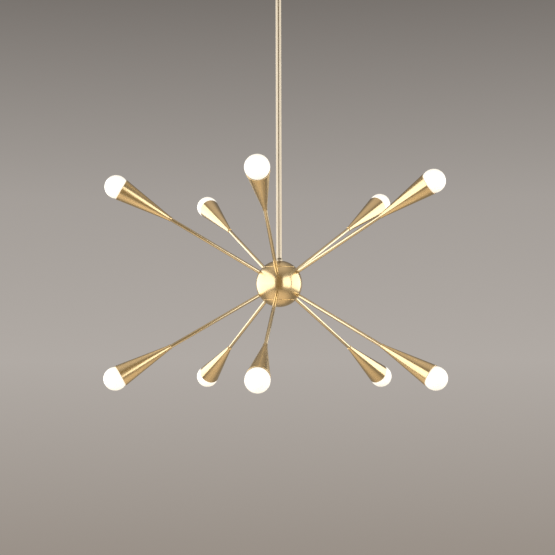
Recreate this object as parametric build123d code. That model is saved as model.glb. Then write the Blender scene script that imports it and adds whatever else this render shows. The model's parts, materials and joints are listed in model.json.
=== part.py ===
from build123d import *
import math
import os

# Sputnik chandelier, in millimetres. +Z is up and the origin is the centre of the ceiling plane,
# so everything hangs below z = 0. The first arm of each tier points along -Y.

# ---------------------------------------------------------------- driving dimensions
# Star of arms
ARMS_PER_TIER = 5        # arms in the upper tier, and again in the lower tier
ARM_RISE = 30.0          # degrees that an upper arm climbs and a lower arm dips
BULB_REACH = 406.0       # hub centre to the centre of each globe
ARM_R = 4.0              # outside radius of an arm tube
ARM_WALL = 1.2           # wall of an arm tube
ARM_END_R = 3.5          # radius of the turned-down outer end that carries cone and socket
ARM_HOLD = 7.3           # length of arm that stands inside the hub wall

# Hub
HUB_R = 50.5             # outside radius of the ball
HUB_WALL = 4.5           # wall of the middle shell
CAP_WALL = 3.5           # wall of the two caps
SEAM_HEIGHT = 35.5       # height of each cap's seam above or below the hub centre
CAP_NECK_R = 29.9        # radius of the threaded neck on each cap
CAP_NECK_WALL = 3.0      # wall of that neck
CAP_NECK_DEPTH = 5.5     # how far the neck screws into the middle shell
SEAM_BEVEL = 0.6         # bevel on both edges of a seam
SPOT_DEPTH = 0.3         # depth that a nut's seat is cut into the shell

# Nuts of the arms and of the stem
ARM_NUT_R = 7.0          # arm nut, across its corners, half
ARM_NUT_DEPTH = 4.0      # thickness of an arm nut
STEM_NUT_R = 8.2         # stem nut, across its corners, half
STEM_NUT_DEPTH = 5.0     # thickness of the stem nut
NUT_SEAT_MARGIN = 1.3    # how much wider a nut's round seat is than the nut

# Cones
MOUTH_R = 23.9           # outside radius of a cone's mouth
MOUTH_SETBACK = 12.0     # globe centre to the plane of the mouth
CONE_LENGTH = 117.0      # mouth to the start of the neck
CONE_TIP_R = 5.2         # outside radius of the neck
CONE_NECK = 6.0          # length of the neck
CONE_WALL = 1.0          # wall of the spun brass
CONE_NUT_DEPTH = 7.0     # length of the tapered clamping nut
CONE_NUT_GAP = 2.7       # clamping nut to the socket's boss

# Bulb: a globe of opal glass on a small screw cap
GLOBE_R = 25.0           # radius of the globe
GLASS = 1.0              # thickness of the glass
NECK_R = 6.0             # radius of the glass neck
NECK_BLEND = 10.0        # radius of the hollow curve from globe to neck
NECK_END = 36.0          # globe centre to the end of the glass
SKIRT_R = 6.9            # radius of the cap's skirt round the neck
SKIRT_LENGTH = 3.0       # length of glass neck inside the skirt
SKIRT_FOOT = 2.0         # solid metal under the glass
SCREW_R = 5.85           # radius of the screw thread's crest
SCREW_LENGTH = 11.0      # length of the screw thread
TIP_CONE = 2.5           # length of the insulator under the thread
TIP_CONE_R = 4.6         # radius of the insulator at the thread
CONTACT_R = 2.2          # radius of the contact
CONTACT = 1.5            # height of the contact

# Lamp socket
SOCKET_R = 10.0          # outside radius
SOCKET_FLOOR = 7.0       # thickness of its floor
SOCKET_BOSS_R = 6.0      # radius of the threaded boss
SOCKET_BOSS = 7.0        # length of the boss
SOCKET_GRIP = 6.5        # length of arm screwed into the boss

# Stem
STEM_R = 6.35            # outside radius of the stem tube
STEM_BORE_R = 4.85       # bore of the stem tube
STEM_LENGTH = 610.0      # length of the stem, foot included
FOOT_R = 8.0             # radius of the foot that sits on the hub
FOOT_HEIGHT = 6.0        # height of the foot
FOOT_TAPER = 4.0         # height over which the foot narrows to the tube
TAIL_R = 4.9             # radius of the threaded tail through the top cap
TAIL_BEYOND_NUT = 2.0    # thread that shows below the stem nut
WIRE_BORE_R = 3.4        # wire passage through tail, tongue and stud

# Swivel
TONGUE_R = 8.0           # radius of the tongue about the pivot
TONGUE_WIDTH = 15.4      # width of the tongue
TONGUE_NECK = 14.0       # pivot to the top of the stem
TONGUE_THREAD_R = 4.8    # radius of the thread into the stem
TONGUE_THREAD = 12.0     # length of that thread
TONGUE_MOUTH_R = 5.4     # radius of the flared wire hole at the tongue's top
YOKE_R = 13.0            # outside radius of the yoke
YOKE_CROWN = 4.7         # thickness of the yoke's crown
YOKE_EAR_R = 10.0        # radius of the rounded end of each ear
PIVOT_SCREW_R = 2.0      # radius of a pivot screw
PIVOT_SCREW_BITE = 3.2   # length of a pivot screw inside the tongue
PIVOT_HEAD_R = 3.4       # radius of a pivot screw's head
PIVOT_HEAD = 2.0         # height of that head
SCREW_SLOT = 0.9         # width and depth of the slot in that head
STUD_R = 5.0             # radius of the stud's thread
STUD_BEYOND_NUT = 7.0    # thread that shows above the swivel nut
STUD_FLANGE_R = 9.0      # radius of the flange under the canopy
STUD_FLANGE = 3.0        # thickness of that flange
JOURNAL_R = 4.5          # radius of the journal that the yoke turns on
STUD_HEAD_R = 6.5        # radius of the head that the yoke hangs on
STUD_HEAD = 2.5          # thickness of that head
HEAD_ROOM = 1.5          # stud head to the tongue
SWIVEL_NUT_R = 9.0       # swivel nut, across its corners, half
SWIVEL_NUT_DEPTH = 4.0   # thickness of the swivel nut

# Canopy and what holds it
CANOPY_R = 63.5          # outside radius of the rim
CANOPY_DEPTH = 36.0      # ceiling to the flat underside
CANOPY_SKIRT = 7.0       # height of the straight skirt
CANOPY_FLAT_R = 37.0     # radius of the flat underside
CANOPY_BULGE = 3.2       # how far the slope bulges out of a straight line
CANOPY_WALL = 1.2        # wall of the spun canopy
CANOPY_SCREW_X = 27.0    # canopy screws from the centre
CANOPY_SCREW_R = 2.1     # radius of a canopy screw
CAP_NUT_R = 5.5          # radius of a cap nut
CAP_NUT_SKIRT = 5.0      # straight height of a cap nut
CAP_NUT_THREAD = 7.0     # depth of thread in a cap nut

# Crossbar
BAR_LENGTH = 106.0       # along X
BAR_WIDTH = 20.0         # along Y
BAR_THICK = 2.5          # along Z
BAR_CORNER = 5.0         # radius of its corners
BOX_SLOT_X = 39.7        # centre of each outlet-box slot from the centre
BOX_SLOT_LENGTH = 14.4   # end to end
BOX_SLOT_WIDTH = 4.8     # across
GROUND_SCREW_X = 14.0    # grounding screw from the centre
GROUND_SCREW_R = 2.1     # radius of its thread
GROUND_HEAD_R = 4.2      # radius of its head, across the corners
GROUND_HEAD = 3.0        # height of its head

# Wiring
CABLE_R = 3.0            # supply cable
CABLE_BEND = 11.0        # bend of the cable above the stud
CABLE_SWEEP = 14.0       # bend of the cable round the inside of the canopy
CABLE_OUT = 26.0         # centre to the cable's run beside the crossbar
CABLE_RUN = 15.0         # length of that run
CORE_R = 1.1             # one insulated core
CORE_SPREAD = 2.2        # tails of the two cores apart, half
CORE_TAIL = 14.0         # length of the tails
CORE_TAIL_STEP = 4.5     # length of a tail's straight start and end
LEAD_R = 1.6             # twin lead to one lamp
LEAD_BEND = 9.0          # bend of a lead inside the hub
CORE_BEND = 4.5          # bend of a core inside the hub
SPLICE_R = 3.9           # radius of a crimped splice
SPLICE_HALF = 6.5        # half its length
SPLICE_FROM_AXIS = 20.6  # hub axis to a splice
CORE_CIRCLE = 1.9        # circle of the five cores at the cable's end
CABLE_BELOW_TAIL = 15.7  # stem's tail to the cable's lower end
CORE_DROP = 7.0          # how far a core falls before it bends outward
CORE_LANDING = 4.2       # height over the splice at which it bends down again

# Clearances
THREAD_GAP = 0.05        # radial, a thread in its tapped hole
RUNNING_GAP = 0.05       # radial, a part that turns in its hole
FREE_GAP = 0.3           # between faces that move past each other
HOLE_GAP = 0.3           # radial, a screw in a plain hole
CONE_GAP = 0.1           # cone on the arm's end, and nut in the cone

# ---------------------------------------------------------------- places worked out from them
UP = Vector(0, 0, 1)
STANDING = (Align.CENTER, Align.CENTER, Align.MIN)
HANGING = (Align.CENTER, Align.CENTER, Align.MAX)

# Swivel, downward from the ceiling
STUD_FLANGE_TOP = -CANOPY_DEPTH
JOURNAL_TOP = STUD_FLANGE_TOP - STUD_FLANGE
JOURNAL_BOTTOM = JOURNAL_TOP - FREE_GAP - YOKE_CROWN
STUD_BOTTOM = JOURNAL_BOTTOM - STUD_HEAD
SWIVEL_NUT_SEAT = -CANOPY_DEPTH + CANOPY_WALL
STUD_TOP = SWIVEL_NUT_SEAT + SWIVEL_NUT_DEPTH + STUD_BEYOND_NUT
PIVOT_Z = STUD_BOTTOM - HEAD_ROOM - TONGUE_R
YOKE_SLOT = TONGUE_WIDTH + 2 * FREE_GAP
SCREW_SEAT_X = YOKE_R - PIVOT_HEAD

# Stem and hub
STEM_TOP = PIVOT_Z - TONGUE_NECK
STEM_FOOT = STEM_TOP - STEM_LENGTH
FOOT_SEAT = math.sqrt(HUB_R**2 - FOOT_R**2)
HUB_Z = STEM_FOOT - FOOT_SEAT
SHELL_R = HUB_R - HUB_WALL
CAP_INNER_R = HUB_R - CAP_WALL
ARM_SEAT_R = SHELL_R + SPOT_DEPTH
ARM_NUT_SEAT_R = ARM_NUT_R + NUT_SEAT_MARGIN
STEM_NUT_SEAT_R = STEM_NUT_R + NUT_SEAT_MARGIN
STEM_NUT_SEAT = math.sqrt(CAP_INNER_R**2 - TAIL_R**2)
TAIL_BOTTOM = STEM_NUT_SEAT - STEM_NUT_DEPTH - TAIL_BEYOND_NUT
CABLE_END = TAIL_BOTTOM - CABLE_BELOW_TAIL
NECK_BOTTOM = SEAM_HEIGHT - CAP_NECK_DEPTH

# Along an arm, measured from the hub centre
MOUTH_AT = BULB_REACH - MOUTH_SETBACK
CONE_TIP_AT = MOUTH_AT - CONE_LENGTH
CONE_NECK_AT = CONE_TIP_AT - CONE_NECK
CONE_SLOPE = (MOUTH_R - CONE_TIP_R) / CONE_LENGTH
ARM_START = ARM_SEAT_R - ARM_HOLD
ARM_BORE_R = ARM_R - ARM_WALL
CAP_FOOT = NECK_END + SKIRT_FOOT
BULB_END = CAP_FOOT + SCREW_LENGTH + TIP_CONE + CONTACT
SOCKET_MOUTH_AT = BULB_REACH - CAP_FOOT - FREE_GAP
SOCKET_WELL_AT = BULB_REACH - BULB_END - FREE_GAP
SOCKET_BASE_AT = SOCKET_WELL_AT - SOCKET_FLOOR
SOCKET_BOSS_AT = SOCKET_BASE_AT - SOCKET_BOSS
ARM_END = SOCKET_BOSS_AT + SOCKET_GRIP
TERMINAL_AT = ARM_END + FREE_GAP
CONE_NUT_AT = SOCKET_BOSS_AT - CONE_NUT_GAP - CONE_NUT_DEPTH


# ---------------------------------------------------------------- helpers
def turned(points):
    """A solid turned about Z from a closed outline of (radius, height) points."""
    outline = Polyline([(radius, 0, height) for radius, height in points], close=True)
    return revolve(make_face(outline), Axis.Z)


def rod(radius, bottom, top):
    """A round bar about Z from one height to another."""
    return Pos(0, 0, bottom) * Cylinder(radius, top - bottom, align=STANDING)


def hex_nut(corner_radius, bore, bottom, top):
    """A six-sided nut about Z."""
    hexagon = Pos(0, 0, bottom) * RegularPolygon(corner_radius, 6)
    return extrude(hexagon, top - bottom) - rod(bore, bottom, top)


def ball_slice(radius, bottom, top):
    """The part of a ball about the origin that lies between two heights."""
    return Sphere(radius) & rod(2 * radius, bottom, top)


def wire(points, bends, radius):
    """A round wire along straight runs joined by arcs."""
    path = FilletPolyline(*points, radius=bends) if bends else Polyline(*points)
    start = Plane(origin=path @ 0, z_dir=path % 0)
    return sweep(start * Circle(radius), path=path)


def at_hub(shape):
    """Moves a shape made about the hub centre down to the hub."""
    return Pos(0, 0, HUB_Z) * shape


def arm_direction(tier, index):
    """The unit vector of one arm; tier is 1 for the upper arms and -1 for the lower ones."""
    turn = math.radians(360 / ARMS_PER_TIER * index)
    rise = math.radians(ARM_RISE) * tier
    return Vector(math.cos(rise) * math.sin(turn), -math.cos(rise) * math.cos(turn), math.sin(rise))


def along_arm(shape, tier, index):
    """Lays a shape made about +Z from the origin along one arm of the hub."""
    direction = arm_direction(tier, index)
    side = direction.cross(UP)
    place = Plane(origin=(0, 0, HUB_Z), x_dir=side, z_dir=direction)
    return place.location * shape


def in_arm_plane(out, height, index):
    """The point at a distance from the hub axis and a height over the hub centre, under one arm."""
    turn = math.radians(360 / ARMS_PER_TIER * index)
    return Vector(out * math.sin(turn), -out * math.cos(turn), HUB_Z + height)


def every_arm():
    """Yields tier, index and the arm's name, such as upper and 1."""
    for tier, tier_name in ((1, "upper"), (-1, "lower")):
        for index in range(ARMS_PER_TIER):
            yield tier, index, tier_name, index + 1


def cone_radius_at(distance):
    """Outside radius of a cone at a distance from the hub centre."""
    return CONE_TIP_R + CONE_SLOPE * (distance - CONE_TIP_AT)


# ---------------------------------------------------------------- ceiling plate and canopy
def crossbar():
    """Flat strap with two slots for the outlet box, two tapped holes and the grounding hole."""
    bar = Pos(0, 0, -BAR_THICK / 2) * Box(BAR_LENGTH, BAR_WIDTH, BAR_THICK)
    bar = fillet(bar.edges().filter_by(Axis.Z), BAR_CORNER)
    slot = extrude(SlotOverall(BOX_SLOT_LENGTH, BOX_SLOT_WIDTH), -BAR_THICK)
    for side in (-1, 1):
        bar -= Pos(side * BOX_SLOT_X, 0, 0) * slot
        bar -= Pos(side * CANOPY_SCREW_X, 0, 0) * rod(CANOPY_SCREW_R + THREAD_GAP, -BAR_THICK, 0)
    bar -= Pos(GROUND_SCREW_X, 0, 0) * rod(GROUND_SCREW_R + THREAD_GAP, -BAR_THICK, 0)
    return bar


def ground_screw():
    """Six-sided grounding screw under the crossbar."""
    head = Pos(0, 0, -BAR_THICK - GROUND_HEAD) * extrude(RegularPolygon(GROUND_HEAD_R, 6), GROUND_HEAD)
    return Pos(GROUND_SCREW_X, 0, 0) * (head + rod(GROUND_SCREW_R, -BAR_THICK, 0))


def canopy_screws():
    """Two threaded rods from the crossbar down through the canopy."""
    bottom = -CANOPY_DEPTH - CAP_NUT_THREAD + FREE_GAP
    screw = rod(CANOPY_SCREW_R, bottom, 0)
    return [Pos(side * CANOPY_SCREW_X, 0, 0) * screw for side in (-1, 1)]


def canopy_nuts():
    """Two domed cap nuts that hold the canopy up."""
    top = -CANOPY_DEPTH
    nut = rod(CAP_NUT_R, top - CAP_NUT_SKIRT, top)
    nut += Pos(0, 0, top - CAP_NUT_SKIRT) * Sphere(CAP_NUT_R)
    nut &= rod(CAP_NUT_R, top - CAP_NUT_SKIRT - CAP_NUT_R, top)
    nut -= rod(CANOPY_SCREW_R + THREAD_GAP, top - CAP_NUT_THREAD, top)
    return [Pos(side * CANOPY_SCREW_X, 0, 0) * nut for side in (-1, 1)]


def dish(rim_radius, flat_radius, floor):
    """Solid bowl of the canopy's form: straight skirt, bulging slope and flat floor."""
    slope_top = Vector(rim_radius, 0, -CANOPY_SKIRT)
    slope_end = Vector(flat_radius, 0, floor)
    middle = (slope_top + slope_end) / 2
    outward = (slope_end - slope_top).normalized().cross(Vector(0, 1, 0))
    lines = Polyline(slope_end, (0, 0, floor), (0, 0, 0), (rim_radius, 0, 0), slope_top)
    slope = ThreePointArc(slope_top, middle + outward * CANOPY_BULGE, slope_end)
    return revolve(make_face(lines + slope), Axis.Z)


def canopy():
    """Spun dome against the ceiling, holed for the stud and the two canopy screws."""
    shell = dish(CANOPY_R, CANOPY_FLAT_R, -CANOPY_DEPTH)
    shell -= dish(CANOPY_R - CANOPY_WALL, CANOPY_FLAT_R - CANOPY_WALL, SWIVEL_NUT_SEAT)
    shell -= rod(STUD_R + HOLE_GAP, -CANOPY_DEPTH, 0)
    for side in (-1, 1):
        shell -= Pos(side * CANOPY_SCREW_X, 0, 0) * rod(CANOPY_SCREW_R + HOLE_GAP, -CANOPY_DEPTH, 0)
    return shell


# ---------------------------------------------------------------- swivel
def swivel_stud():
    """Hollow stud through the canopy: thread, flange, journal for the yoke and a spread head."""
    stud = rod(STUD_R, STUD_FLANGE_TOP, STUD_TOP)
    stud += rod(STUD_FLANGE_R, JOURNAL_TOP, STUD_FLANGE_TOP)
    stud += rod(JOURNAL_R, JOURNAL_BOTTOM, JOURNAL_TOP)
    stud += rod(STUD_HEAD_R, STUD_BOTTOM, JOURNAL_BOTTOM)
    return stud - rod(WIRE_BORE_R, STUD_BOTTOM, STUD_TOP)


def swivel_nut():
    """Lock nut on the stud, inside the canopy."""
    top = SWIVEL_NUT_SEAT + SWIVEL_NUT_DEPTH
    return hex_nut(SWIVEL_NUT_R, STUD_R + THREAD_GAP, SWIVEL_NUT_SEAT, top)


def across(radius, near, far):
    """A round bar along X at the pivot, from one X to another."""
    bar = Cylinder(radius, far - near, rotation=(0, 90, 0))
    return Pos((near + far) / 2, 0, PIVOT_Z) * bar


def swivel_yoke():
    """Turned fork that turns on the stud's journal and holds the tongue between its ears."""
    crown_top = JOURNAL_BOTTOM + YOKE_CROWN
    bottom = PIVOT_Z - YOKE_EAR_R
    body = rod(YOKE_R, bottom, crown_top)
    above = rod(2 * YOKE_R, PIVOT_Z, crown_top)
    body &= above + across(YOKE_EAR_R, -YOKE_R, YOKE_R)
    slot_height = JOURNAL_BOTTOM - bottom
    slot = Box(YOKE_SLOT, 3 * YOKE_R, slot_height, align=HANGING)
    body -= Pos(0, 0, JOURNAL_BOTTOM) * slot
    body -= rod(JOURNAL_R + RUNNING_GAP, JOURNAL_BOTTOM, crown_top)
    body -= across(PIVOT_SCREW_R + THREAD_GAP, -YOKE_R, YOKE_R)
    body -= across(PIVOT_HEAD_R + HOLE_GAP, SCREW_SEAT_X, YOKE_R)
    body -= across(PIVOT_HEAD_R + HOLE_GAP, -YOKE_R, -SCREW_SEAT_X)
    return body


def swivel_screws():
    """Two pivot screws, one through each ear of the yoke into the tongue."""
    tip = TONGUE_WIDTH / 2 - PIVOT_SCREW_BITE + FREE_GAP
    head_end = YOKE_R - FREE_GAP
    screw = across(PIVOT_SCREW_R, tip, SCREW_SEAT_X) + across(PIVOT_HEAD_R, SCREW_SEAT_X, head_end)
    slot = Box(SCREW_SLOT, 3 * PIVOT_HEAD_R, SCREW_SLOT, align=(Align.MAX, Align.CENTER, Align.CENTER))
    screw -= Pos(head_end, 0, PIVOT_Z) * slot
    return [screw, screw.rotate(Axis.Z, 180)]


def swivel_tongue():
    """Pivot block between the ears, with a wire hole down it and a thread into the stem."""
    tongue = across(TONGUE_R, -TONGUE_WIDTH / 2, TONGUE_WIDTH / 2)
    tongue += rod(STEM_R, STEM_TOP, PIVOT_Z)
    tongue += rod(TONGUE_THREAD_R, STEM_TOP - TONGUE_THREAD, STEM_TOP)
    tongue -= rod(WIRE_BORE_R, STEM_TOP - TONGUE_THREAD, PIVOT_Z + TONGUE_R)
    flare_depth = TONGUE_R - PIVOT_SCREW_R - 2 * RUNNING_GAP
    flare = Cone(WIRE_BORE_R, TONGUE_MOUTH_R, flare_depth, align=HANGING)
    tongue -= Pos(0, 0, PIVOT_Z + TONGUE_R) * flare
    hole = across(PIVOT_SCREW_R + RUNNING_GAP, TONGUE_WIDTH / 2 - PIVOT_SCREW_BITE, TONGUE_WIDTH / 2)
    tongue -= hole
    tongue -= hole.rotate(Axis.Z, 180)
    return tongue


# ---------------------------------------------------------------- stem and hub
def stem():
    """Straight tube with a small foot on the hub and a threaded tail through the top cap."""
    foot_top = STEM_FOOT + FOOT_HEIGHT
    body = rod(STEM_R, STEM_FOOT, STEM_TOP) + rod(FOOT_R, STEM_FOOT, foot_top - FOOT_TAPER)
    taper = Cone(FOOT_R, STEM_R, FOOT_TAPER, align=STANDING)
    body += Pos(0, 0, foot_top - FOOT_TAPER) * taper
    body += rod(TAIL_R, HUB_Z + TAIL_BOTTOM, STEM_FOOT)
    body -= rod(STEM_BORE_R, foot_top, STEM_TOP)
    return body - rod(WIRE_BORE_R, HUB_Z + TAIL_BOTTOM, foot_top)


def stem_nut():
    """Nut on the stem's tail, under the top cap."""
    bottom = STEM_NUT_SEAT - STEM_NUT_DEPTH
    return at_hub(hex_nut(STEM_NUT_R, TAIL_R + THREAD_GAP, bottom, STEM_NUT_SEAT))


def hub_body():
    """Middle shell of the ball, open at both poles, with a tapped hole and a flat seat for each arm."""
    shell = ball_slice(HUB_R, -SEAM_HEIGHT, SEAM_HEIGHT)
    shell = chamfer(shell.edges().group_by(Axis.Z)[0] + shell.edges().group_by(Axis.Z)[-1], SEAM_BEVEL)
    shell -= ball_slice(SHELL_R, -NECK_BOTTOM, NECK_BOTTOM)
    shell -= rod(CAP_NECK_R + THREAD_GAP, -SEAM_HEIGHT, SEAM_HEIGHT)
    shell = at_hub(shell)
    hole = rod(ARM_R + THREAD_GAP, ARM_START, HUB_R)
    seat = rod(ARM_NUT_SEAT_R, ARM_START, ARM_SEAT_R)
    for tier, index, _, _ in every_arm():
        shell -= along_arm(hole + seat, tier, index)
    return shell


def closed_cap():
    """One cap about the hub centre: a slice of the ball with a threaded neck, not yet holed."""
    cap = ball_slice(HUB_R, SEAM_HEIGHT, HUB_R)
    cap = chamfer(cap.edges().group_by(Axis.Z)[0], SEAM_BEVEL)
    cap += rod(CAP_NECK_R, NECK_BOTTOM, SEAM_HEIGHT)
    hollow = Sphere(CAP_INNER_R) & rod(CAP_NECK_R - CAP_NECK_WALL, 0, CAP_INNER_R)
    return cap - hollow


def hub_top_cap():
    """Top cap, with a flat outside for the stem's foot and a flat inside for the stem nut."""
    cap = closed_cap()
    cap -= rod(TAIL_R + HOLE_GAP, 0, HUB_R)
    cap -= rod(FOOT_R + HOLE_GAP, FOOT_SEAT, HUB_R)
    cap -= rod(STEM_NUT_SEAT_R, 0, STEM_NUT_SEAT)
    return at_hub(cap)


def hub_bottom_cap():
    """Bottom cap, plain outside; it unscrews to reach the splices."""
    return at_hub(closed_cap().rotate(Axis.X, 180))


# ---------------------------------------------------------------- arms, cones, sockets and bulbs
def arm():
    """Arm tube, threaded into the hub, with a thinner outer end for the cone, nut and socket."""
    body = rod(ARM_R, ARM_START, CONE_NECK_AT) + rod(ARM_END_R, CONE_NECK_AT, ARM_END)
    return body - rod(ARM_BORE_R, ARM_START, ARM_END)


def arm_nut():
    """Lock nut on an arm, inside the hub."""
    return hex_nut(ARM_NUT_R, ARM_R + THREAD_GAP, ARM_SEAT_R - ARM_NUT_DEPTH, ARM_SEAT_R)


def cone():
    """Slender spun cone, open at the mouth, with a short neck on the arm's thinner end."""
    neck_bore = ARM_END_R + CONE_GAP
    inner_mouth = MOUTH_R - CONE_WALL
    inner_start = CONE_TIP_AT + (neck_bore + CONE_WALL - CONE_TIP_R) / CONE_SLOPE
    return turned([
        (neck_bore, CONE_NECK_AT),
        (CONE_TIP_R, CONE_NECK_AT),
        (CONE_TIP_R, CONE_TIP_AT),
        (MOUTH_R, MOUTH_AT),
        (inner_mouth, MOUTH_AT),
        (neck_bore, inner_start),
    ])


def cone_nut():
    """Tapered nut on the arm that draws the cone back against the arm's shoulder."""
    near = CONE_NUT_AT
    far = CONE_NUT_AT + CONE_NUT_DEPTH
    bore = ARM_END_R + THREAD_GAP
    return turned([
        (bore, near),
        (cone_radius_at(near) - CONE_WALL - CONE_GAP, near),
        (cone_radius_at(far) - CONE_WALL - CONE_GAP, far),
        (bore, far),
    ])


def socket():
    """Lamp socket: a deep cup for the bulb's screw, on a threaded boss."""
    cup = rod(SOCKET_R, SOCKET_BASE_AT, SOCKET_MOUTH_AT)
    cup += rod(SOCKET_BOSS_R, SOCKET_BOSS_AT, SOCKET_BASE_AT)
    cup -= rod(SCREW_R + FREE_GAP, SOCKET_WELL_AT, SOCKET_MOUTH_AT)
    return cup - rod(ARM_END_R + THREAD_GAP, SOCKET_BOSS_AT, TERMINAL_AT)


def envelope(radius, blend, neck_radius):
    """Solid globe and neck about the origin, the neck along -Z, with a hollow curve between."""
    blend_out = neck_radius + blend
    blend_down = math.sqrt((radius + blend) ** 2 - blend_out**2)
    share = radius / (radius + blend)
    touch = Vector(blend_out * share, 0, -blend_down * share)
    middle = Vector(blend_out, 0, -blend_down)
    half_way = (touch - middle + Vector(-blend, 0, 0)).normalized() * blend
    ball = ThreePointArc((0, 0, radius), (radius, 0, 0), touch)
    neck_top = Vector(neck_radius, 0, -blend_down)
    neck_bottom = Vector(neck_radius, 0, -NECK_END)
    hollow = ThreePointArc(touch, middle + half_way, neck_top)
    straight = Polyline(neck_top, neck_bottom, (0, 0, -NECK_END), (0, 0, radius))
    return revolve(make_face(ball + hollow + straight), Axis.Z)


def bulb():
    """Opal globe and, as a second solid, the screw cap that closes its neck."""
    glass = envelope(GLOBE_R, NECK_BLEND, NECK_R)
    glass -= envelope(GLOBE_R - GLASS, NECK_BLEND + GLASS, NECK_R - GLASS)
    thread_end = CAP_FOOT + SCREW_LENGTH
    screw_cap = turned([
        (0, -NECK_END),
        (NECK_R + THREAD_GAP, -NECK_END),
        (NECK_R + THREAD_GAP, -NECK_END + SKIRT_LENGTH),
        (SKIRT_R, -NECK_END + SKIRT_LENGTH),
        (SKIRT_R, -CAP_FOOT),
        (SCREW_R, -CAP_FOOT),
        (SCREW_R, -thread_end),
        (TIP_CONE_R, -thread_end),
        (CONTACT_R, -thread_end - TIP_CONE),
        (CONTACT_R, -BULB_END),
        (0, -BULB_END),
    ])
    return [Pos(0, 0, BULB_REACH) * piece for piece in (glass, screw_cap)]


# ---------------------------------------------------------------- wiring
def arm_lead(tier, index):
    """Twin lead from a socket down its arm and round into the splice beside the hub's axis."""
    lead_out = SPLICE_FROM_AXIS + LEAD_R
    corner = lead_out * math.tan(math.radians(ARM_RISE))
    start = Vector(0, 0, HUB_Z) + arm_direction(tier, index) * TERMINAL_AT
    turn = in_arm_plane(lead_out, corner * tier, index)
    end = in_arm_plane(lead_out, SPLICE_HALF * tier, index)
    return wire([start, turn, end], LEAD_BEND, LEAD_R)


def splice(index):
    """Crimped splice of one upper lead, one lower lead and one core of the cable."""
    place = in_arm_plane(SPLICE_FROM_AXIS, 0, index)
    return Location(place) * rod(SPLICE_R, -SPLICE_HALF, SPLICE_HALF)


def hub_core(index):
    """Core that leaves the cable's lower end and bends out and down into one splice."""
    core_out = SPLICE_FROM_AXIS - LEAD_R
    points = [
        in_arm_plane(CORE_CIRCLE, CABLE_END, index),
        in_arm_plane(CORE_CIRCLE, CABLE_END - CORE_DROP, index),
        in_arm_plane(core_out, SPLICE_HALF + CORE_LANDING, index),
        in_arm_plane(core_out, SPLICE_HALF, index),
    ]
    return wire(points, CORE_BEND, CORE_R)


def supply_cable():
    """Cable from the canopy down the stem to the hub, with its cores at both ends."""
    run_z = STUD_TOP + CABLE_BEND
    end_x = -CABLE_SWEEP - CABLE_RUN
    points = [(0, 0, HUB_Z + CABLE_END), (0, 0, run_z), (0, CABLE_OUT, run_z), (end_x, CABLE_OUT, run_z)]
    pieces = [wire(points, [CABLE_BEND, CABLE_SWEEP], CABLE_R)]
    for side in (-1, 1):
        beside = CABLE_OUT + side * CORE_R
        spread = CABLE_OUT + side * CORE_SPREAD
        tail = [
            (end_x, beside, run_z),
            (end_x - CORE_TAIL_STEP, beside, run_z),
            (end_x - CORE_TAIL + CORE_TAIL_STEP, spread, run_z),
            (end_x - CORE_TAIL, spread, run_z),
        ]
        pieces.append(wire(tail, CORE_BEND, CORE_R))
    pieces += [hub_core(index) for index in range(ARMS_PER_TIER)]
    return pieces


# ---------------------------------------------------------------- the assembly
def save(name, shape):
    """Writes one node, either one solid or a group of separate solids."""
    if isinstance(shape, list):
        solids = [solid for piece in shape for solid in piece.solids()]
        shape = Compound(children=solids)
    export_step(shape, os.path.join("parts", name + ".step"))


def main():
    os.makedirs("parts", exist_ok=True)
    single_pieces = (
        crossbar, ground_screw, canopy_screws, canopy, canopy_nuts,
        swivel_stud, swivel_nut, swivel_yoke, swivel_screws, swivel_tongue,
        stem, stem_nut, hub_top_cap, hub_body, hub_bottom_cap, supply_cable,
    )
    for make in single_pieces:
        save(make.__name__, make())
    straight_pieces = {"arm": arm(), "cone": cone(), "socket": socket()}
    globe = bulb()
    for tier, index, tier_name, number in every_arm():
        for kind, piece in straight_pieces.items():
            save(f"{tier_name}_{kind}_{number}", along_arm(piece, tier, index))
        save(f"{tier_name}_bulb_{number}", [along_arm(piece, tier, index) for piece in globe])
    save("arm_nuts", [along_arm(arm_nut(), tier, index) for tier, index, _, _ in every_arm()])
    save("cone_nuts", [along_arm(cone_nut(), tier, index) for tier, index, _, _ in every_arm()])
    save("arm_leads", [arm_lead(tier, index) for tier, index, _, _ in every_arm()])
    save("hub_splices", [splice(index) for index in range(ARMS_PER_TIER)])


main()
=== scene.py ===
"""Looks of the sputnik chandelier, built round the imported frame. Sizes are in metres."""

import json
import math

import bmesh
import bpy
from mathutils import Matrix, Vector


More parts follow.
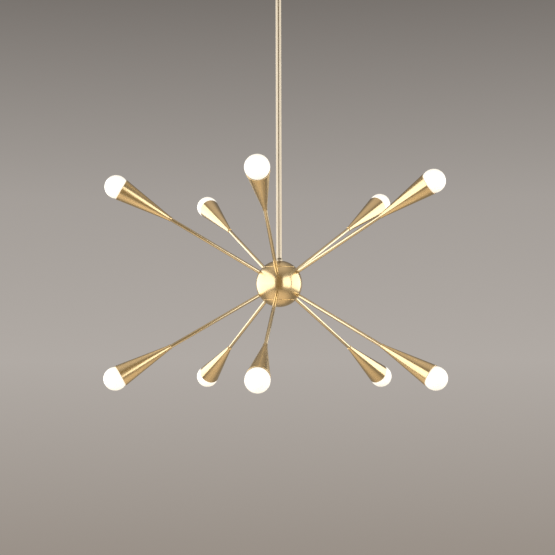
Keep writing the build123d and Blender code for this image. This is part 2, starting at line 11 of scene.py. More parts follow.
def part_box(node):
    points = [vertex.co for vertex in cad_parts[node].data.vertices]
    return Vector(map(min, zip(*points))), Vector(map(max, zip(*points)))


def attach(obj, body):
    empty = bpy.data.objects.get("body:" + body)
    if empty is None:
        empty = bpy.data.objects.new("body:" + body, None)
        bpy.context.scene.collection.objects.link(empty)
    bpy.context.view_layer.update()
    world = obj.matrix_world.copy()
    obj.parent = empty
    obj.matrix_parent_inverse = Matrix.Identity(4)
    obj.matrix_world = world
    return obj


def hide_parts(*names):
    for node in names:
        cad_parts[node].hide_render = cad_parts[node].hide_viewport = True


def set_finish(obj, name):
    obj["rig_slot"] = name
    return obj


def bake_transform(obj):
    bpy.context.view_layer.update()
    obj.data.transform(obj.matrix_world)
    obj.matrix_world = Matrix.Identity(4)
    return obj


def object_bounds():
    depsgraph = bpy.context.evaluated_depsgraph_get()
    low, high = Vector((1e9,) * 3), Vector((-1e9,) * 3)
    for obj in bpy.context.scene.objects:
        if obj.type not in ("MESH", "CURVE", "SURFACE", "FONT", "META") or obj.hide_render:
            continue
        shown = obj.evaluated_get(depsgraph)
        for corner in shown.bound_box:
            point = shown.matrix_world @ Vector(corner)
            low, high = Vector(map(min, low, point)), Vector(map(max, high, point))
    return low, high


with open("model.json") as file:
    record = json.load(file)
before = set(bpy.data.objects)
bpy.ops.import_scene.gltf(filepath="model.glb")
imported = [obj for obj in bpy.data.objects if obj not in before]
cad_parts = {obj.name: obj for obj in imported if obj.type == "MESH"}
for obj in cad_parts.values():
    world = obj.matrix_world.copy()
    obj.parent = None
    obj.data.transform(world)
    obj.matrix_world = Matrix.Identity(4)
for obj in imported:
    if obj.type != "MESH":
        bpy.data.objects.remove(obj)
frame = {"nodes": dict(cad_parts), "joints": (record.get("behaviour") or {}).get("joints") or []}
cad_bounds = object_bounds()

MM = 0.001
UP = Vector((0, 0, 1))
TIERS = ("upper", "lower")
ARMS_PER_TIER = 5

# Camera: fitted to the ten globes of the photograph
CAMERA_DISTANCE = 2.8358     # hub centre to the lens
CAMERA_AROUND = 6.77         # degrees round from -Y towards +X
CAMERA_BELOW = 3.36          # degrees under the hub centre
CAMERA_PITCH = 3.636         # degrees that the view is tilted up
CAMERA_PAN = 0.07            # degrees that the view is turned to the left of the hub
CAMERA_ROLL = 0.15           # degrees that the camera is rolled
LENS = 85.0                  # mm
SENSOR = 36                  # mm, width of the frame

# Brushed finish: (light, deep) tones of each kind of brass, with the stem's darkened as painted shade, and
# how fine the brush's lines are
SPUN_TONES = (0.87, 0.695, 0.40), (0.74, 0.54, 0.27)
ARM_TONES = (0.80, 0.68, 0.45), (0.66, 0.52, 0.31)
# The stem's tones are the brass darkened far below the arms': painted shade that keeps the stem dim.
SHADED_STEM_TONES = (0.42, 0.37, 0.285), (0.35, 0.30, 0.225)
SPUN_ROUGHNESS = 0.225
DRAWN_ROUGHNESS = 0.2
CLOUD_SCALE = 9              # noise scale of the wide tonal clouds, to the metre
CLOUD_MIX = 0.35             # most of the deep tone that a cloud brings in
BRUSH_LINE = 2600            # noise scale of the brushed lines, to the metre
BRUSH_DEPTH = 0.02 * MM      # depth of the brushed lines
BRUSH_BUMP = 0.04            # strength of the brushed lines in the shading
SWEEP_LINE = 1300            # noise scale of the brush's wider strokes, to the metre
SWEEP_MIX = 0.18             # most of the deep tone that a stroke brings in
ROUND_THE_AXIS = (0.02, 0.02, 1)      # draws the noise out round a piece's own axis
ALONG_THE_AXIS = (1, 1, 0.008)        # draws it out along that axis

# Other finishes: base colours, and (light, deep) tones that the textures bring in
ZINC = (0.60, 0.60, 0.59)
ZINC_TONES = (0.66, 0.66, 0.64), (0.50, 0.51, 0.50)
GREEN = (0.08, 0.33, 0.14)
GREEN_TONES = (0.07, 0.30, 0.12), (0.13, 0.42, 0.20)
OPAL = (0.84, 0.82, 0.76)
GLOW_AT_NECK = (1.0, 0.86, 0.66)
GLOW_AT_TIP = (1.0, 0.965, 0.88)
GLOW_CLOUD = (1.0, 0.93, 0.82)
GLOW_STRENGTH = 0.56
GLOW_TURN = (1.1, 0.4)       # where the glow changes, in globe radii behind the globe's centre
RESIN = (0.055, 0.045, 0.04)
CAP_GLASS = (0.02, 0.018, 0.018)
JACKET = (0.62, 0.48, 0.25)
NYLON = (0.80, 0.76, 0.66)
GRAIN_DEPTH = 0.03 * MM      # depth of the grain of painted and moulded pieces

# Meshes
AROUND = 72                  # segments round a turned piece
SHARP = math.radians(40)     # edges above this angle stay crisp
SAME = 0.02 * MM             # two sizes this close are the same
ON_AXIS = 1e-7               # a radius below this lies on the axis
ON_CREST = 1e-6              # a radius this close to the crest belongs to the thread
NO_LENGTH = 1e-9             # a side below this length has no direction
LONGEST_CUT = 0.45           # most of a side that a rounding may take up

# Rounded edges
CONE_BORE_EDGE = 0.2 * MM
CONE_NECK_EDGE = 0.4 * MM
CONE_NECK_ROUND = 8 * MM     # where the neck widens
CONE_LIP = 0.35 * MM
ARM_EDGE = 0.3 * MM
ARM_STEP_EDGE = 0.2 * MM
BOSS_EDGE = 0.25 * MM
SOCKET_BASE_EDGE = 0.8 * MM
SOCKET_RIM_EDGE = 0.6 * MM
WELL_EDGE = 0.3 * MM

# Screw thread of cap and socket
THREAD_PITCH = 2.54 * MM
CAP_THREAD_DEPTH = 0.45 * MM
SHELL_THREAD_DEPTH = 0.15 * MM

# Arm tube
ARM_END_R = 3.5 * MM         # radius of the turned-down end inside the cone
ARM_BORE_R = 2.8 * MM

# Bulb, with distances from the globe's centre towards the cap
GLASS = 1.0 * MM             # thickness of the glass
NECK_R = 6.0 * MM            # radius of the glass neck
NECK_BLEND = 10.0 * MM       # radius of the hollow curve from globe to neck
NECK_END = 36 * MM           # end of the glass
SKIRT_R = 6.9 * MM           # radius of the cap's skirt
SKIRT_BORE_R = 6.05 * MM
SKIRT_START = 33 * MM
SKIRT_END = 38 * MM
SCREW_R = 5.85 * MM          # radius of the thread's crest
SCREW_END = 49 * MM
TIP_R = 4.6 * MM             # radius of the insulator at the thread
TIP_SHOULDER = (4.2 * MM, 0.9 * MM)   # (radius, depth) where the insulator starts to taper
TIP_FOOT_R = 2.4 * MM
TIP_END = 51.5 * MM
CONTACT_R = 2.2 * MM
CONTACT_ROUNDING = ((2.1 * MM, 0.7 * MM), (1.5 * MM, 1.25 * MM))      # (radius, depth) down the contact
CONTACT_HEIGHT = 1.5 * MM

# Socket, from its boss outwards
BOSS_R = 6.0 * MM
BOSS_BORE_R = 3.55 * MM
BOSS_LENGTH = 7 * MM
FLOOR_THICK = 7 * MM
FLOOR_SOLID = 5 * MM         # part of the floor that the boss's bore leaves whole
WELL_R = 6.35 * MM
SHELL_R = 6.33 * MM          # outside of the brass screw shell
SHELL_BORE_R = 6.12 * MM
SHELL_SHORT = 0.8 * MM       # how far the shell ends inside the socket's mouth

# Supply cable
CABLE_R = 3.0 * MM
CABLE_CLEAR = 20 * MM        # straight cable below its bend over the stud
CABLE_STEPS = 16             # parts of the stretch that bends in the swivel
CORE_R = 1.1 * MM
CORE_SPREAD = 1.1 * MM       # how far each core's tail moves outwards
CORE_TAIL = 14 * MM
CORE_CIRCLE = 1.9 * MM       # radius of the five cores' circle at the cable's lower end
CORE_DROP = 7 * MM           # how far a core falls before it bends outwards
CORE_LANDING = 4.2 * MM      # height over a splice at which it bends down again
BELOW_STEM = 15.7 * MM       # stem's end to the cable's lower end
SPLICE_OUT = 19 * MM         # hub axis to the core's end in a splice

# Studio
FLOOR_BELOW = 0.75                    # metres from the part's lowest point down to the floor
FLOOR_MIDDLE = (-0.12, -0.35)
FLOOR_R = 6.0
FLOOR_FADE = (0.35, 1.5)              # radii between which the floor fades into the backdrop
PALE_FLOOR = (0.80, 0.70, 0.57)
BACKDROP = (                          # degrees above level, colour of the surroundings there
    (-90, (0.275, 0.235, 0.185)),
    (-14, (0.275, 0.235, 0.185)),
    (-8, (0.325, 0.285, 0.25)),
    (0, (0.44, 0.405, 0.375)),
    (7, (0.375, 0.345, 0.32)),
    (16, (0.18, 0.163, 0.148)),
    (30, (0.17, 0.15, 0.13)),
    (48, (0.33, 0.285, 0.23)),
    (66, (0.60, 0.52, 0.44)),
    (90, (0.64, 0.55, 0.46)),
)
PANELS = (                            # (x, y) of both upright edges, low and high end from the hub
    ("left_box", (-0.75, -3.0), (-2.1, 2.3), -0.8, 1.45),
    ("right_front_box", (1.45, -3.0), (2.4, -1.02), -0.9, 1.6),
    ("right_back_box", (2.4, -0.75), (1.95, 2.3), -0.75, 1.6),
)
PANEL_RADIANCE = 1.8
PANEL_COLOUR = (1, 0.97, 0.93)
SCREEN = ("dark_screen", (-0.75, -3.05), (1.43, -3.08), -1.6, 2.4)    # measured as the panels are
SCREEN_COLOUR = (0.25, 0.185, 0.10)


# ---------------------------------------------------------------- measuring the frame
def centre_of(node):
    low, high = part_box(node)
    return (low + high) / 2


HUB = centre_of("hub_body")


def arm_axis(tier, number):
    """Direction of one arm, as the joint that draws its bulb gives it."""
    name = f"{tier}_bulb_{number}_draw"
    joint = next(j for j in frame["joints"] if j["name"] == name)
    return Vector(joint["axis"]).normalized()


def arm_frame(tier, number):
    """Frame with its origin at the hub centre and +Z out along an arm."""
    axis = arm_axis(tier, number)
    side = axis.cross(UP).normalized()
    turn = Matrix((side, axis.cross(side), axis)).transposed()
    return Matrix.Translation(HUB) @ turn.to_4x4()


def profile(kind):
    """The (radius, distance from the hub centre) of every corner of a node on the first arm."""
    inward = arm_frame("upper", 1).inverted()
    points = [inward @ v.co for v in frame["nodes"][f"upper_{kind}_1"].data.vertices]
    return [(math.hypot(p.x, p.y), p.z) for p in points]


def reach(kind):
    """Nearest and furthest distance from the hub centre, and widest radius, of a node on the first arm."""
    points = profile(kind)
    heights = [height for _, height in points]
    return min(heights), max(heights), max(radius for radius, _ in points)


# ---------------------------------------------------------------- mesh helpers
def new_object(name, vertices, faces, material, slot):
    mesh = bpy.data.meshes.new(name)
    mesh.from_pydata(vertices, [], faces)
    mesh.validate()
    shell = bmesh.new()
    shell.from_mesh(mesh)
    bmesh.ops.recalc_face_normals(shell, faces=shell.faces)
    shell.to_mesh(mesh)
    shell.free()
    for polygon in mesh.polygons:
        polygon.use_smooth = True
    mesh.set_sharp_from_angle(angle=SHARP)
    mesh.materials.append(material)
    piece = bpy.data.objects.new(name, mesh)
    bpy.context.scene.collection.objects.link(piece)
    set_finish(piece, slot)
    return piece


def filleted(corners, steps=4):
    """Outline of (radius, height) points in which a corner with a third number is rounded by that radius."""
    points = []
    count = len(corners)
    for i, corner in enumerate(corners):
        here = Vector(corner[:2])
        size = corner[2] if len(corner) > 2 else 0
        before = Vector(corners[i - 1][:2]) - here
        after = Vector(corners[(i + 1) % count][:2]) - here
        if not size or min(before.length, after.length) < NO_LENGTH:
            points.append(here)
            continue
        half = before.angle(after) / 2
        cut = min(size / math.tan(half), LONGEST_CUT * before.length, LONGEST_CUT * after.length)
        radius = cut * math.tan(half)
        middle = here + (before.normalized() + after.normalized()).normalized() * (radius / math.sin(half))
        start = here + before.normalized() * cut - middle
        end = here + after.normalized() * cut - middle
        sweep = start.angle_signed(end)
        for k in range(steps + 1):
            turned_by = Matrix.Rotation(-sweep * k / steps, 2)
            points.append(middle + turned_by @ start)
    return [(p.x, p.y) for p in points]


def turned(name, outline, material, slot, around=AROUND, wobble=None):
    """A piece turned about Z from a closed outline of (radius, height) points.
    A point on the axis becomes one vertex. wobble(angle, radius, height) may change the radius."""
    vertices, rings = [], []
    for radius, height in outline:
        if radius < ON_AXIS:
            rings.append([len(vertices)])
            vertices.append((0, 0, height))
            continue
        ring = []
        for k in range(around):
            angle = 2 * math.pi * k / around
            r = wobble(angle, radius, height) if wobble else radius
            ring.append(len(vertices))
            vertices.append((r * math.cos(angle), r * math.sin(angle), height))
        rings.append(ring)
    faces = []
    for i, ring in enumerate(rings):
        after = rings[(i + 1) % len(rings)]
        for k in range(around):
            a, b = ring[k % len(ring)], ring[(k + 1) % len(ring)]
            c, d = after[(k + 1) % len(after)], after[k % len(after)]
            corners = list(dict.fromkeys((a, b, c, d)))
            if len(corners) > 2:
                faces.append(corners)
    return new_object(name, vertices, faces, material, slot)


def thread_steps(start, end, per_turn=10):
    """Heights close enough together to show a screw thread between two heights."""
    count = max(2, round(abs(end - start) / THREAD_PITCH * per_turn))
    return [start + (end - start) * k / count for k in range(count + 1)]


def rolled_thread(low, high, crest, depth):
    """Wobble that gives a rounded thread between two heights at about a crest radius."""
    def wobble(angle, radius, height):
        if abs(radius - crest) > ON_CREST or not low <= height <= high:
            return radius
        phase = 2 * math.pi * height / THREAD_PITCH - angle
        fade = min(1, (height - low) / THREAD_PITCH, (high - height) / THREAD_PITCH)
        return radius - depth * fade * (0.5 - 0.5 * math.cos(phase))
    return wobble


# ---------------------------------------------------------------- materials
class Finish:
    """A node material on one Principled shader, with short ways to add its textures."""

    COLOUR_A, COLOUR_B, MIXED_COLOUR = 6, 7, 2       # sockets of a mix node that mixes colours

    def __init__(self, name, colour, roughness, metallic=0.0):
        self.material = bpy.data.materials.new(name)
        self.material.use_nodes = True
        self.tree = self.material.node_tree
        self.shader = self.tree.nodes["Principled BSDF"]
        self.set("Base Color", (*colour, 1))
        self.set("Roughness", roughness)
        self.set("Metallic", metallic)
        self.bumps = None

    def set(self, socket, value):
        self.shader.inputs[socket].default_value = value

    def add(self, kind, **inputs):
        node = self.tree.nodes.new(kind)
        for name, value in inputs.items():
            node.inputs[name.replace("_", " ")].default_value = value
        return node

    def join(self, source, target):
        self.tree.links.new(source, target)

    def noise(self, scale, detail=2.0, squeeze=(1, 1, 1)):
        """Noise over the piece's own frame, drawn out where squeeze is small."""
        place = self.add("ShaderNodeTexCoord")
        mapping = self.add("ShaderNodeMapping", Scale=squeeze)
        noise = self.add("ShaderNodeTexNoise", Scale=scale, Detail=detail)
        self.join(place.outputs["Object"], mapping.inputs["Vector"])
        self.join(mapping.outputs["Vector"], noise.inputs["Vector"])
        return noise.outputs["Fac"]

    def spread(self, value, low, high, start=0.3, end=0.7):
        """Maps a texture's middle range to low..high."""
        node = self.add("ShaderNodeMapRange")
        node.inputs["From Min"].default_value = start
        node.inputs["From Max"].default_value = end
        node.inputs["To Min"].default_value = low
        node.inputs["To Max"].default_value = high
        self.join(value, node.inputs["Value"])
        return node.outputs["Result"]

    def mix(self, factor, first, second):
        node = self.tree.nodes.new("ShaderNodeMix")
        node.data_type = "RGBA"
        self.join(factor, node.inputs["Factor"])
        for index, value in ((self.COLOUR_A, first), (self.COLOUR_B, second)):
            if isinstance(value, tuple):
                node.inputs[index].default_value = (*value, 1)
            else:
                self.join(value, node.inputs[index])
        return node.outputs[self.MIXED_COLOUR]

    def bump(self, height, strength, depth):
        node = self.add("ShaderNodeBump", Strength=strength, Distance=depth)
        self.join(height, node.inputs["Height"])
        if self.bumps:
            self.join(self.bumps, node.inputs["Normal"])
        self.bumps = node.outputs["Normal"]
        self.join(self.bumps, self.shader.inputs["Normal"])


def satin_brass(name, tones, squeeze, roughness, turned_by):
    """Lacquered brass with fine brushed lines: round the piece's own axis or along it."""
    light, deep = tones
    finish = Finish(name, light, roughness, metallic=1.0)
    cloud = finish.noise(CLOUD_SCALE, detail=3)
    lines = finish.noise(BRUSH_LINE, detail=3, squeeze=squeeze)
    sweeps = finish.noise(SWEEP_LINE, detail=2, squeeze=squeeze)
    toned = finish.mix(finish.spread(cloud, 0, CLOUD_MIX), light, deep)
    stroked = finish.mix(finish.spread(sweeps, 0, SWEEP_MIX), toned, deep)
    finish.join(stroked, finish.shader.inputs["Base Color"])
    finish.join(finish.spread(sweeps, roughness - 0.02, roughness + 0.03), finish.shader.inputs["Roughness"])
    finish.bump(lines, BRUSH_BUMP, BRUSH_DEPTH)
    finish.set("Anisotropic", 0.6)
    finish.set("Anisotropic Rotation", turned_by)
    finish.set("Coat Weight", 0.6)
    finish.set("Coat Roughness", 0.1)
    return finish.material


def plated_steel():
    finish = Finish("zinc_steel", ZINC, 0.35, metallic=1.0)
    spangle = finish.noise(320, detail=2)
    finish.join(finish.mix(finish.spread(spangle, 0, 1), *ZINC_TONES), finish.shader.inputs["Base Color"])
    finish.join(finish.spread(spangle, 0.28, 0.42), finish.shader.inputs["Roughness"])
    finish.bump(finish.noise(1800, detail=3), 0.2, BRUSH_DEPTH)
    return finish.material


def green_steel():
    finish = Finish("green_steel", GREEN, 0.35, metallic=0.6)
    stain = finish.noise(420, detail=3)
    finish.join(finish.mix(finish.spread(stain, 0, 1), *GREEN_TONES), finish.shader.inputs["Base Color"])
    finish.bump(stain, 0.15, GRAIN_DEPTH)
    return finish.material


def opal_glass(low, high):
    """Lit opal glass: white, a touch warmer towards the neck, with the faint cloud of blown glass."""
    finish = Finish("opal_glass", OPAL, 0.12)
    place = finish.add("ShaderNodeTexCoord")
    split = finish.add("ShaderNodeSeparateXYZ")
    finish.join(place.outputs["Object"], split.inputs["Vector"])
    toward_tip = finish.spread(split.outputs["Z"], 0, 1, low, high)
    cloud = finish.noise(60, detail=2)
    glow = finish.mix(toward_tip, GLOW_AT_NECK, GLOW_AT_TIP)
    clouded = finish.mix(finish.spread(cloud, 0, 0.12), glow, GLOW_CLOUD)
    finish.join(clouded, finish.shader.inputs["Emission Color"])
    finish.set("Emission Strength", GLOW_STRENGTH)
    finish.set("Coat Weight", 0.5)
    finish.set("Coat Roughness", 0.04)
    return finish.material


def moulded(name, colour, roughness, grain):
    """Plain moulded material with a fine grain and a slightly uneven gloss."""
    finish = Finish(name, colour, roughness)
    mottle = finish.noise(150, detail=2)
    darker = tuple(0.82 * c for c in colour)
    finish.join(finish.mix(finish.spread(mottle, 0, 1), colour, darker), finish.shader.inputs["Base Color"])
    finish.join(finish.spread(mottle, roughness - 0.05, roughness + 0.08), finish.shader.inputs["Roughness"])
    finish.bump(finish.noise(grain, detail=2), 0.3, GRAIN_DEPTH)
    return finish.material


arm_reach = reach("arm")
cone_reach = reach("cone")
socket_reach = reach("socket")
bulb_reach = reach("bulb")
GLOBE_R = bulb_reach[2]
GLOBE_AT = bulb_reach[1] - GLOBE_R

spun_brass = satin_brass("brass_spun", SPUN_TONES, ROUND_THE_AXIS, SPUN_ROUGHNESS, turned_by=0.25)
drawn_brass = satin_brass("brass_drawn", ARM_TONES, ALONG_THE_AXIS, DRAWN_ROUGHNESS, turned_by=0.0)
# Darker copy of the brass for the stem: painted shade, not a different metal.
shaded_stem_brass = satin_brass("brass_stem_painted_shade", SHADED_STEM_TONES, ALONG_THE_AXIS, DRAWN_ROUGHNESS, turned_by=0.0)
zinc = plated_steel()
green = green_steel()
opal = opal_glass(GLOBE_AT - GLOW_TURN[0] * GLOBE_R, GLOBE_AT - GLOW_TURN[1] * GLOBE_R)
resin = moulded("socket_resin", RESIN, roughness=0.42, grain=900)
insulator = moulded("cap_insulator", CAP_GLASS, roughness=0.2, grain=700)
jacket = moulded("wire_jacket", JACKET, roughness=0.4, grain=1200)
nylon = moulded("splice_nylon", NYLON, roughness=0.38, grain=600)

NODE_FINISH = {
    "crossbar": zinc,
    "canopy_screws": zinc,
    "swivel_nut": zinc,
    "ground_screw": green,
    "arm_leads": jacket,
    "supply_cable": jacket,
    "hub_splices": nylon,
    "stem": shaded_stem_brass,
}


def paint(node, material):
    mesh_object = frame["nodes"][node]
    mesh_object.data.materials.clear()
    mesh_object.data.materials.append(material)


for node in frame["nodes"]:
    paint(node, NODE_FINISH.get(node, spun_brass))


# ---------------------------------------------------------------- pieces on every arm
def make_cone():
    """Spun cone with a thin wall and a rounded lip."""
    near, far, mouth = cone_reach
    corners = profile("cone")
    near_radii = [radius for radius, height in corners if height < near + SAME]
    bore, neck_r = min(near_radii), max(near_radii)
    neck_far = max(height for radius, height in corners if abs(radius - neck_r) < SAME)
    inner_start = max(height for radius, height in corners if abs(radius - bore) < SAME)
    inner_mouth = min(radius for radius, height in corners if height > far - SAME)
    outline = filleted([
        (bore, near, CONE_BORE_EDGE),
        (neck_r, near, CONE_NECK_EDGE),
        (neck_r, neck_far, CONE_NECK_ROUND),
        (mouth, far, CONE_LIP),
        (inner_mouth, far, CONE_LIP),
        (bore, inner_start),
    ])
    return turned("cone", outline, spun_brass, "satin_brass", around=96)


def make_arm():
    """Arm tube from inside the hub to the socket, thinner inside the cone."""
    near, far, radius = arm_reach
    shoulder = cone_reach[0]
    outline = filleted([
        (ARM_BORE_R, near),
        (radius, near, ARM_EDGE),
        (radius, shoulder, ARM_STEP_EDGE),
        (ARM_END_R, shoulder),
        (ARM_END_R, far, ARM_STEP_EDGE),
        (ARM_BORE_R, far),
    ])
    return turned("arm", outline, drawn_brass, "satin_brass", around=40)


def glass_outline(radius, blend, neck, steps, blend_steps=10):
    """Half outline of the globe that runs into its neck in a hollow curve, from the pole to the foot."""
    out = neck + blend
    down = math.sqrt((radius + blend) ** 2 - out ** 2)
    end = math.acos(-down / (radius + blend))
    ball = [(radius * math.sin(end * k / steps), GLOBE_AT + radius * math.cos(end * k / steps))
            for k in range(1, steps + 1)]
    start = end - math.pi
    hollow = []
    for k in range(1, blend_steps + 1):
        angle = start + (-math.pi / 2 - start) * k / blend_steps
        hollow.append((out + blend * math.sin(angle), GLOBE_AT - down + blend * math.cos(angle)))
    return [(0, GLOBE_AT + radius)] + ball + hollow + [(neck, GLOBE_AT - NECK_END)]


def make_globe():
    """Opal glass shell of one bulb."""
    outside = glass_outline(GLOBE_R, NECK_BLEND, NECK_R, steps=40)
    inside = glass_outline(GLOBE_R - GLASS, NECK_BLEND + GLASS, NECK_R - GLASS, steps=24)
    return turned("globe", outside + inside[::-1], opal, "opal_glass", around=96)


def make_cap():
    """Screw cap of a bulb with its rolled thread."""
    glass_foot, top, foot = GLOBE_AT - NECK_END, GLOBE_AT - SKIRT_START, GLOBE_AT - SKIRT_END
    thread_end = GLOBE_AT - SCREW_END
    outline = [(0, glass_foot), (SKIRT_BORE_R, glass_foot), (SKIRT_BORE_R, top)]
    outline += [(SKIRT_R, top), (SKIRT_R, foot)]
    outline += [(SCREW_R, height) for height in thread_steps(foot, thread_end)]
    outline += [(TIP_R, thread_end), (0, thread_end)]
    wobble = rolled_thread(thread_end, foot, SCREW_R, CAP_THREAD_DEPTH)
    return turned("cap", outline, zinc, "zinc_steel", wobble=wobble)


def make_cap_insulator():
    """Dark glass cone under the cap's thread."""
    top, foot = GLOBE_AT - SCREW_END, GLOBE_AT - TIP_END
    shoulder_r, shoulder_down = TIP_SHOULDER
    outline = [(0, top), (TIP_R, top), (shoulder_r, top - shoulder_down), (TIP_FOOT_R, foot), (0, foot)]
    return turned("insulator", outline, insulator, "socket_resin", around=48)


def make_contact():
    """Soldered contact at the bulb's end."""
    top = GLOBE_AT - TIP_END
    outline = [(0, top), (CONTACT_R, top)]
    outline += [(radius, top - depth) for radius, depth in CONTACT_ROUNDING]
    outline += [(0, top - CONTACT_HEIGHT)]
    return turned("contact", outline, zinc, "zinc_steel", around=32)


def make_socket():
    """Moulded socket: boss, floor and cup."""
    near, far, radius = socket_reach
    base = near + BOSS_LENGTH
    floor = base + FLOOR_THICK
    outline = filleted([
        (BOSS_BORE_R, near),
        (BOSS_R, near, BOSS_EDGE),
        (BOSS_R, base),
        (radius, base, SOCKET_BASE_EDGE),
        (radius, far, SOCKET_RIM_EDGE),
        (WELL_R, far, WELL_EDGE),
        (WELL_R, floor),
        (0, floor),
        (0, floor - FLOOR_SOLID),
        (BOSS_BORE_R, floor - FLOOR_SOLID),
    ])
    return turned("socket", outline, resin, "socket_resin")


def make_socket_shell():
    """Brass screw shell that lines the socket's well."""
    near, far, _ = socket_reach
    heights = thread_steps(near + BOSS_LENGTH + FLOOR_THICK, far - SHELL_SHORT)
    outline = [(SHELL_R, height) for height in heights]
    outline += [(SHELL_BORE_R, height) for height in reversed(heights)]

    def groove(angle, radius, height):
        phase = 2 * math.pi * height / THREAD_PITCH - angle
        return radius - SHELL_THREAD_DEPTH * (0.5 - 0.5 * math.cos(phase))

    return turned("screw_shell", outline, spun_brass, "satin_brass", around=48, wobble=groove)


def share(source, name, tier, number, body, node):
    """A copy of a piece on one arm, sharing its mesh."""
    piece = bpy.data.objects.new(name, source.data)
    bpy.context.scene.collection.objects.link(piece)
    piece.matrix_world = arm_frame(tier, number)
    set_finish(piece, source["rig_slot"])
    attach(piece, body)
    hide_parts(node)


def dress_arms():
    """Puts the pieces on all ten arms, each in the place of the CAD node that it stands for."""
    patterns = {
        "cone": ("cone", make_cone()),
        "arm": ("arm", make_arm()),
        "socket": ("socket", make_socket()),
        "screw_shell": ("socket", make_socket_shell()),
        "globe": ("bulb", make_globe()),
        "cap": ("bulb", make_cap()),
        "insulator": ("bulb", make_cap_insulator()),
        "contact": ("bulb", make_contact()),
    }
    for tier in TIERS:
        for number in range(1, ARMS_PER_TIER + 1):
            for kind, (stands_for, pattern) in patterns.items():
                node = f"{tier}_{stands_for}_{number}"
                body = node if stands_for == "bulb" else "pendant"
                share(pattern, f"{tier}_{kind}_{number}_look", tier, number, body, node)
    for _, pattern in patterns.values():
        bpy.data.objects.remove(pattern)


dress_arms()


# ---------------------------------------------------------------- supply cable
def bent_wire(name, points, radius, body):
    """A wire whose line is a smooth curve led by points."""
    curve = bpy.data.curves.new(name, "CURVE")
    curve.dimensions = "3D"
    curve.bevel_depth = radius
    curve.bevel_resolution = 5
    curve.resolution_u = 10
    curve.use_fill_caps = True
    spline = curve.splines.new("NURBS")
    spline.points.add(len(points) - 1)
    for point, place in zip(spline.points, points):
        point.co = (*place, 1)
    spline.order_u = 3
    spline.use_endpoint_u = True
    curve.materials.append(jacket)
    piece = bpy.data.objects.new(name, curve)
    bpy.context.scene.collection.objects.link(piece)
    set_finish(piece, "wire_jacket")
    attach(piece, body)
    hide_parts("supply_cable")


def cable_in_canopy(bottom):
    """The cable up through the stud and along inside the canopy, and its two tails."""
    low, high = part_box("supply_cable")
    run_z = high.z - CABLE_R
    out_y = high.y - CORE_R - 2 * CORE_SPREAD
    end_x = low.x + CORE_TAIL
    bent_wire("cable_in_canopy", [
        (0, 0, bottom),
        (0, 0, run_z - CABLE_CLEAR),
        (0, 0, run_z),
        (0, out_y / 2, run_z),
        (0, out_y, run_z),
        (end_x / 2, out_y, run_z),
        (end_x, out_y, run_z),
    ], CABLE_R, "ceiling_mount")
    for name, side in (("left", -1), ("right", 1)):
        beside, spread = out_y + side * CORE_SPREAD, out_y + side * 2 * CORE_SPREAD
        bent_wire(f"cable_tail_{name}", [
            (end_x, beside, run_z),
            (end_x - CORE_TAIL / 3, beside, run_z),
            (end_x - 2 * CORE_TAIL / 3, spread, run_z),
            (low.x, spread, run_z),
        ], CORE_R, "ceiling_mount")


def cable_in_swivel(top, bottom):
    """The short stretch in the swivel, where the cable bends when the stem tilts, made here as a straight
    piece.
    """
    heights = [top + (bottom - top) * k / CABLE_STEPS for k in range(CABLE_STEPS + 1)]
    outline = [(0, heights[0])] + [(CABLE_R, height) for height in heights] + [(0, heights[-1])]
    piece = turned("cable_in_swivel", outline, jacket, "wire_jacket", around=32)
    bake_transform(piece)
    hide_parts("supply_cable")


def cable_in_stem(top, bottom):
    """The straight cable down the stem, and its cores out to the splices in the hub."""
    bent_wire("cable_in_stem", [(0, 0, top), (0, 0, (top + bottom) / 2), (0, 0, bottom)], CABLE_R, "pendant")
    splice_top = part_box("hub_splices")[1].z
    route = [
        (CORE_CIRCLE, bottom),
        (CORE_CIRCLE, bottom - CORE_DROP),
        (SPLICE_OUT, splice_top + CORE_LANDING),
        (SPLICE_OUT, splice_top),
    ]
    for number in range(1, ARMS_PER_TIER + 1):
        outwards = arm_axis("upper", number)
        outwards.z = 0
        outwards.normalize()
        points = [(outwards.x * away, outwards.y * away, height) for away, height in route]
        bent_wire(f"cable_core_{number}", points, CORE_R, "pendant")


stud_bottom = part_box("swivel_stud")[0].z
stem_bottom, stem_top = (corner.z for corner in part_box("stem"))
cable_in_canopy(stud_bottom)
cable_in_swivel(stud_bottom, stem_top)
cable_in_stem(stem_top, stem_bottom - BELOW_STEM)


# ---------------------------------------------------------------- stage, light and camera
def make_floor():
    """Pale floor that fades into the backdrop's colour far out."""
    place = (*FLOOR_MIDDLE, cad_bounds[0][2] - FLOOR_BELOW)
    bpy.ops.mesh.primitive_circle_add(vertices=96, radius=FLOOR_R, fill_type="NGON", location=place)
    floor = bpy.context.object
    floor.name = "floor"
    material = bpy.data.materials.new("floor")
    material.use_nodes = True
    nodes, links = material.node_tree.nodes, material.node_tree.links
    shader = nodes["Principled BSDF"]
    shader.inputs["Base Color"].default_value = (*PALE_FLOOR, 1)
    shader.inputs["Roughness"].default_value = 0.9
    position = nodes.new("ShaderNodeTexCoord")
    length = nodes.new("ShaderNodeVectorMath")
    length.operation = "LENGTH"
    fade = nodes.new("ShaderNodeMapRange")
    fade.interpolation_type = "SMOOTHSTEP"
    fade.inputs["From Min"].default_value = FLOOR_FADE[0]
    fade.inputs["From Max"].default_value = FLOOR_FADE[1]
    clear = nodes.new("ShaderNodeBsdfTransparent")
    mixer = nodes.new("ShaderNodeMixShader")
    links.new(position.outputs["Object"], length.inputs[0])
    links.new(length.outputs["Value"], fade.inputs["Value"])
    links.new(fade.outputs["Result"], mixer.inputs["Fac"])
    links.new(shader.outputs["BSDF"], mixer.inputs[1])
    links.new(clear.outputs["BSDF"], mixer.inputs[2])
    links.new(mixer.outputs["Shader"], nodes["Material Output"].inputs["Surface"])
    floor.data.materials.append(material)


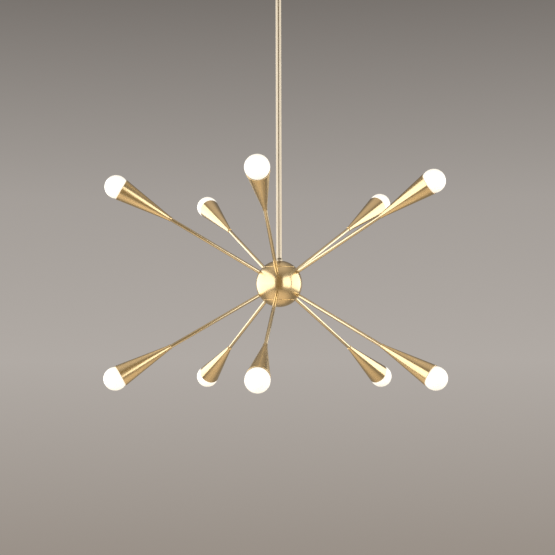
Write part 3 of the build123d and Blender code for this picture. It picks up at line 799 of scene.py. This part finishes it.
def make_world():
    """Plain backdrop: pale level with the light, darker above and below, and palest overhead."""
    world = bpy.data.worlds.new("studio")
    bpy.context.scene.world = world
    world.use_nodes = True
    nodes, links = world.node_tree.nodes, world.node_tree.links
    direction = nodes.new("ShaderNodeTexCoord")
    split = nodes.new("ShaderNodeSeparateXYZ")
    rise = nodes.new("ShaderNodeMath")
    rise.operation = "ARCSINE"
    height = nodes.new("ShaderNodeMapRange")
    height.inputs["From Min"].default_value = math.radians(BACKDROP[0][0])
    height.inputs["From Max"].default_value = math.radians(BACKDROP[-1][0])
    ramp = nodes.new("ShaderNodeValToRGB")
    stops = ramp.color_ramp.elements
    span = BACKDROP[-1][0] - BACKDROP[0][0]
    for index, (degrees, colour) in enumerate(BACKDROP):
        place = (degrees - BACKDROP[0][0]) / span
        stop = stops[index] if index < 2 else stops.new(place)
        stop.position = place
        stop.color = (*colour, 1)
    links.new(direction.outputs["Generated"], split.inputs["Vector"])
    links.new(split.outputs["Z"], rise.inputs[0])
    links.new(rise.outputs["Value"], height.inputs["Value"])
    links.new(height.outputs["Result"], ramp.inputs["Fac"])
    links.new(ramp.outputs["Color"], nodes["Background"].inputs["Color"])
    nodes["Background"].inputs["Strength"].default_value = 1.0


def make_panel(name, near_edge, far_edge, low, high):
    """An upright panel of soft light between two (x, y) edges, facing the hub's side."""
    near, far = Vector(near_edge), Vector(far_edge)
    width, height = (far - near).length, high - low
    data = bpy.data.lights.new(name, "AREA")
    data.shape = "RECTANGLE"
    data.size = width
    data.size_y = height
    data.energy = PANEL_RADIANCE * math.pi * width * height
    data.color = PANEL_COLOUR
    lamp = bpy.data.objects.new(name, data)
    bpy.context.scene.collection.objects.link(lamp)
    middle = (near + far) / 2
    along = (far - near).normalized()
    inward = Vector((-along.y, along.x))
    if inward.dot(middle) > 0:
        inward = -inward
    lamp.location = (middle.x, middle.y, HUB.z + (low + high) / 2)
    lamp.rotation_euler = Vector((inward.x, inward.y, 0)).to_track_quat("-Z", "Y").to_euler()
    lamp.visible_camera = False


def make_screen(name, near_edge, far_edge, low, high):
    """A dark brown screen between the panels behind the camera, which the brass reflects."""
    low, high = HUB.z + low, HUB.z + high
    corners = [(*near_edge, low), (*far_edge, low), (*far_edge, high), (*near_edge, high)]
    mesh = bpy.data.meshes.new(name)
    mesh.from_pydata(corners, [], [(0, 1, 2, 3)])
    material = bpy.data.materials.new(name)
    material.use_nodes = True
    shader = material.node_tree.nodes["Principled BSDF"]
    shader.inputs["Base Color"].default_value = (0.02, 0.015, 0.01, 1)
    shader.inputs["Roughness"].default_value = 1.0
    shader.inputs["Emission Color"].default_value = (*SCREEN_COLOUR, 1)
    shader.inputs["Emission Strength"].default_value = 1.0
    mesh.materials.append(material)
    screen = bpy.data.objects.new(name, mesh)
    bpy.context.scene.collection.objects.link(screen)
    screen.visible_camera = False


def make_camera():
    around, below = math.radians(CAMERA_AROUND), math.radians(CAMERA_BELOW)
    level = math.cos(below)
    offset = Vector((level * math.sin(around), -level * math.cos(around), -math.sin(below)))
    data = bpy.data.cameras.new("camera")
    data.lens = LENS
    data.sensor_width = SENSOR
    data.clip_end = 100
    camera = bpy.data.objects.new("camera", data)
    bpy.context.scene.collection.objects.link(camera)
    camera.location = HUB + offset * CAMERA_DISTANCE
    aim = Matrix.Rotation(around + math.radians(CAMERA_PAN), 3, "Z")
    aim = aim @ Matrix.Rotation(math.radians(90 + CAMERA_PITCH), 3, "X")
    aim = aim @ Matrix.Rotation(math.radians(-CAMERA_ROLL), 3, "Z")
    camera.rotation_euler = aim.to_euler()
    bpy.context.scene.camera = camera


make_floor()
make_world()
for panel in PANELS:
    make_panel(*panel)
make_screen(*SCREEN)
make_camera()

bpy.context.scene.view_settings.view_transform = "Standard"
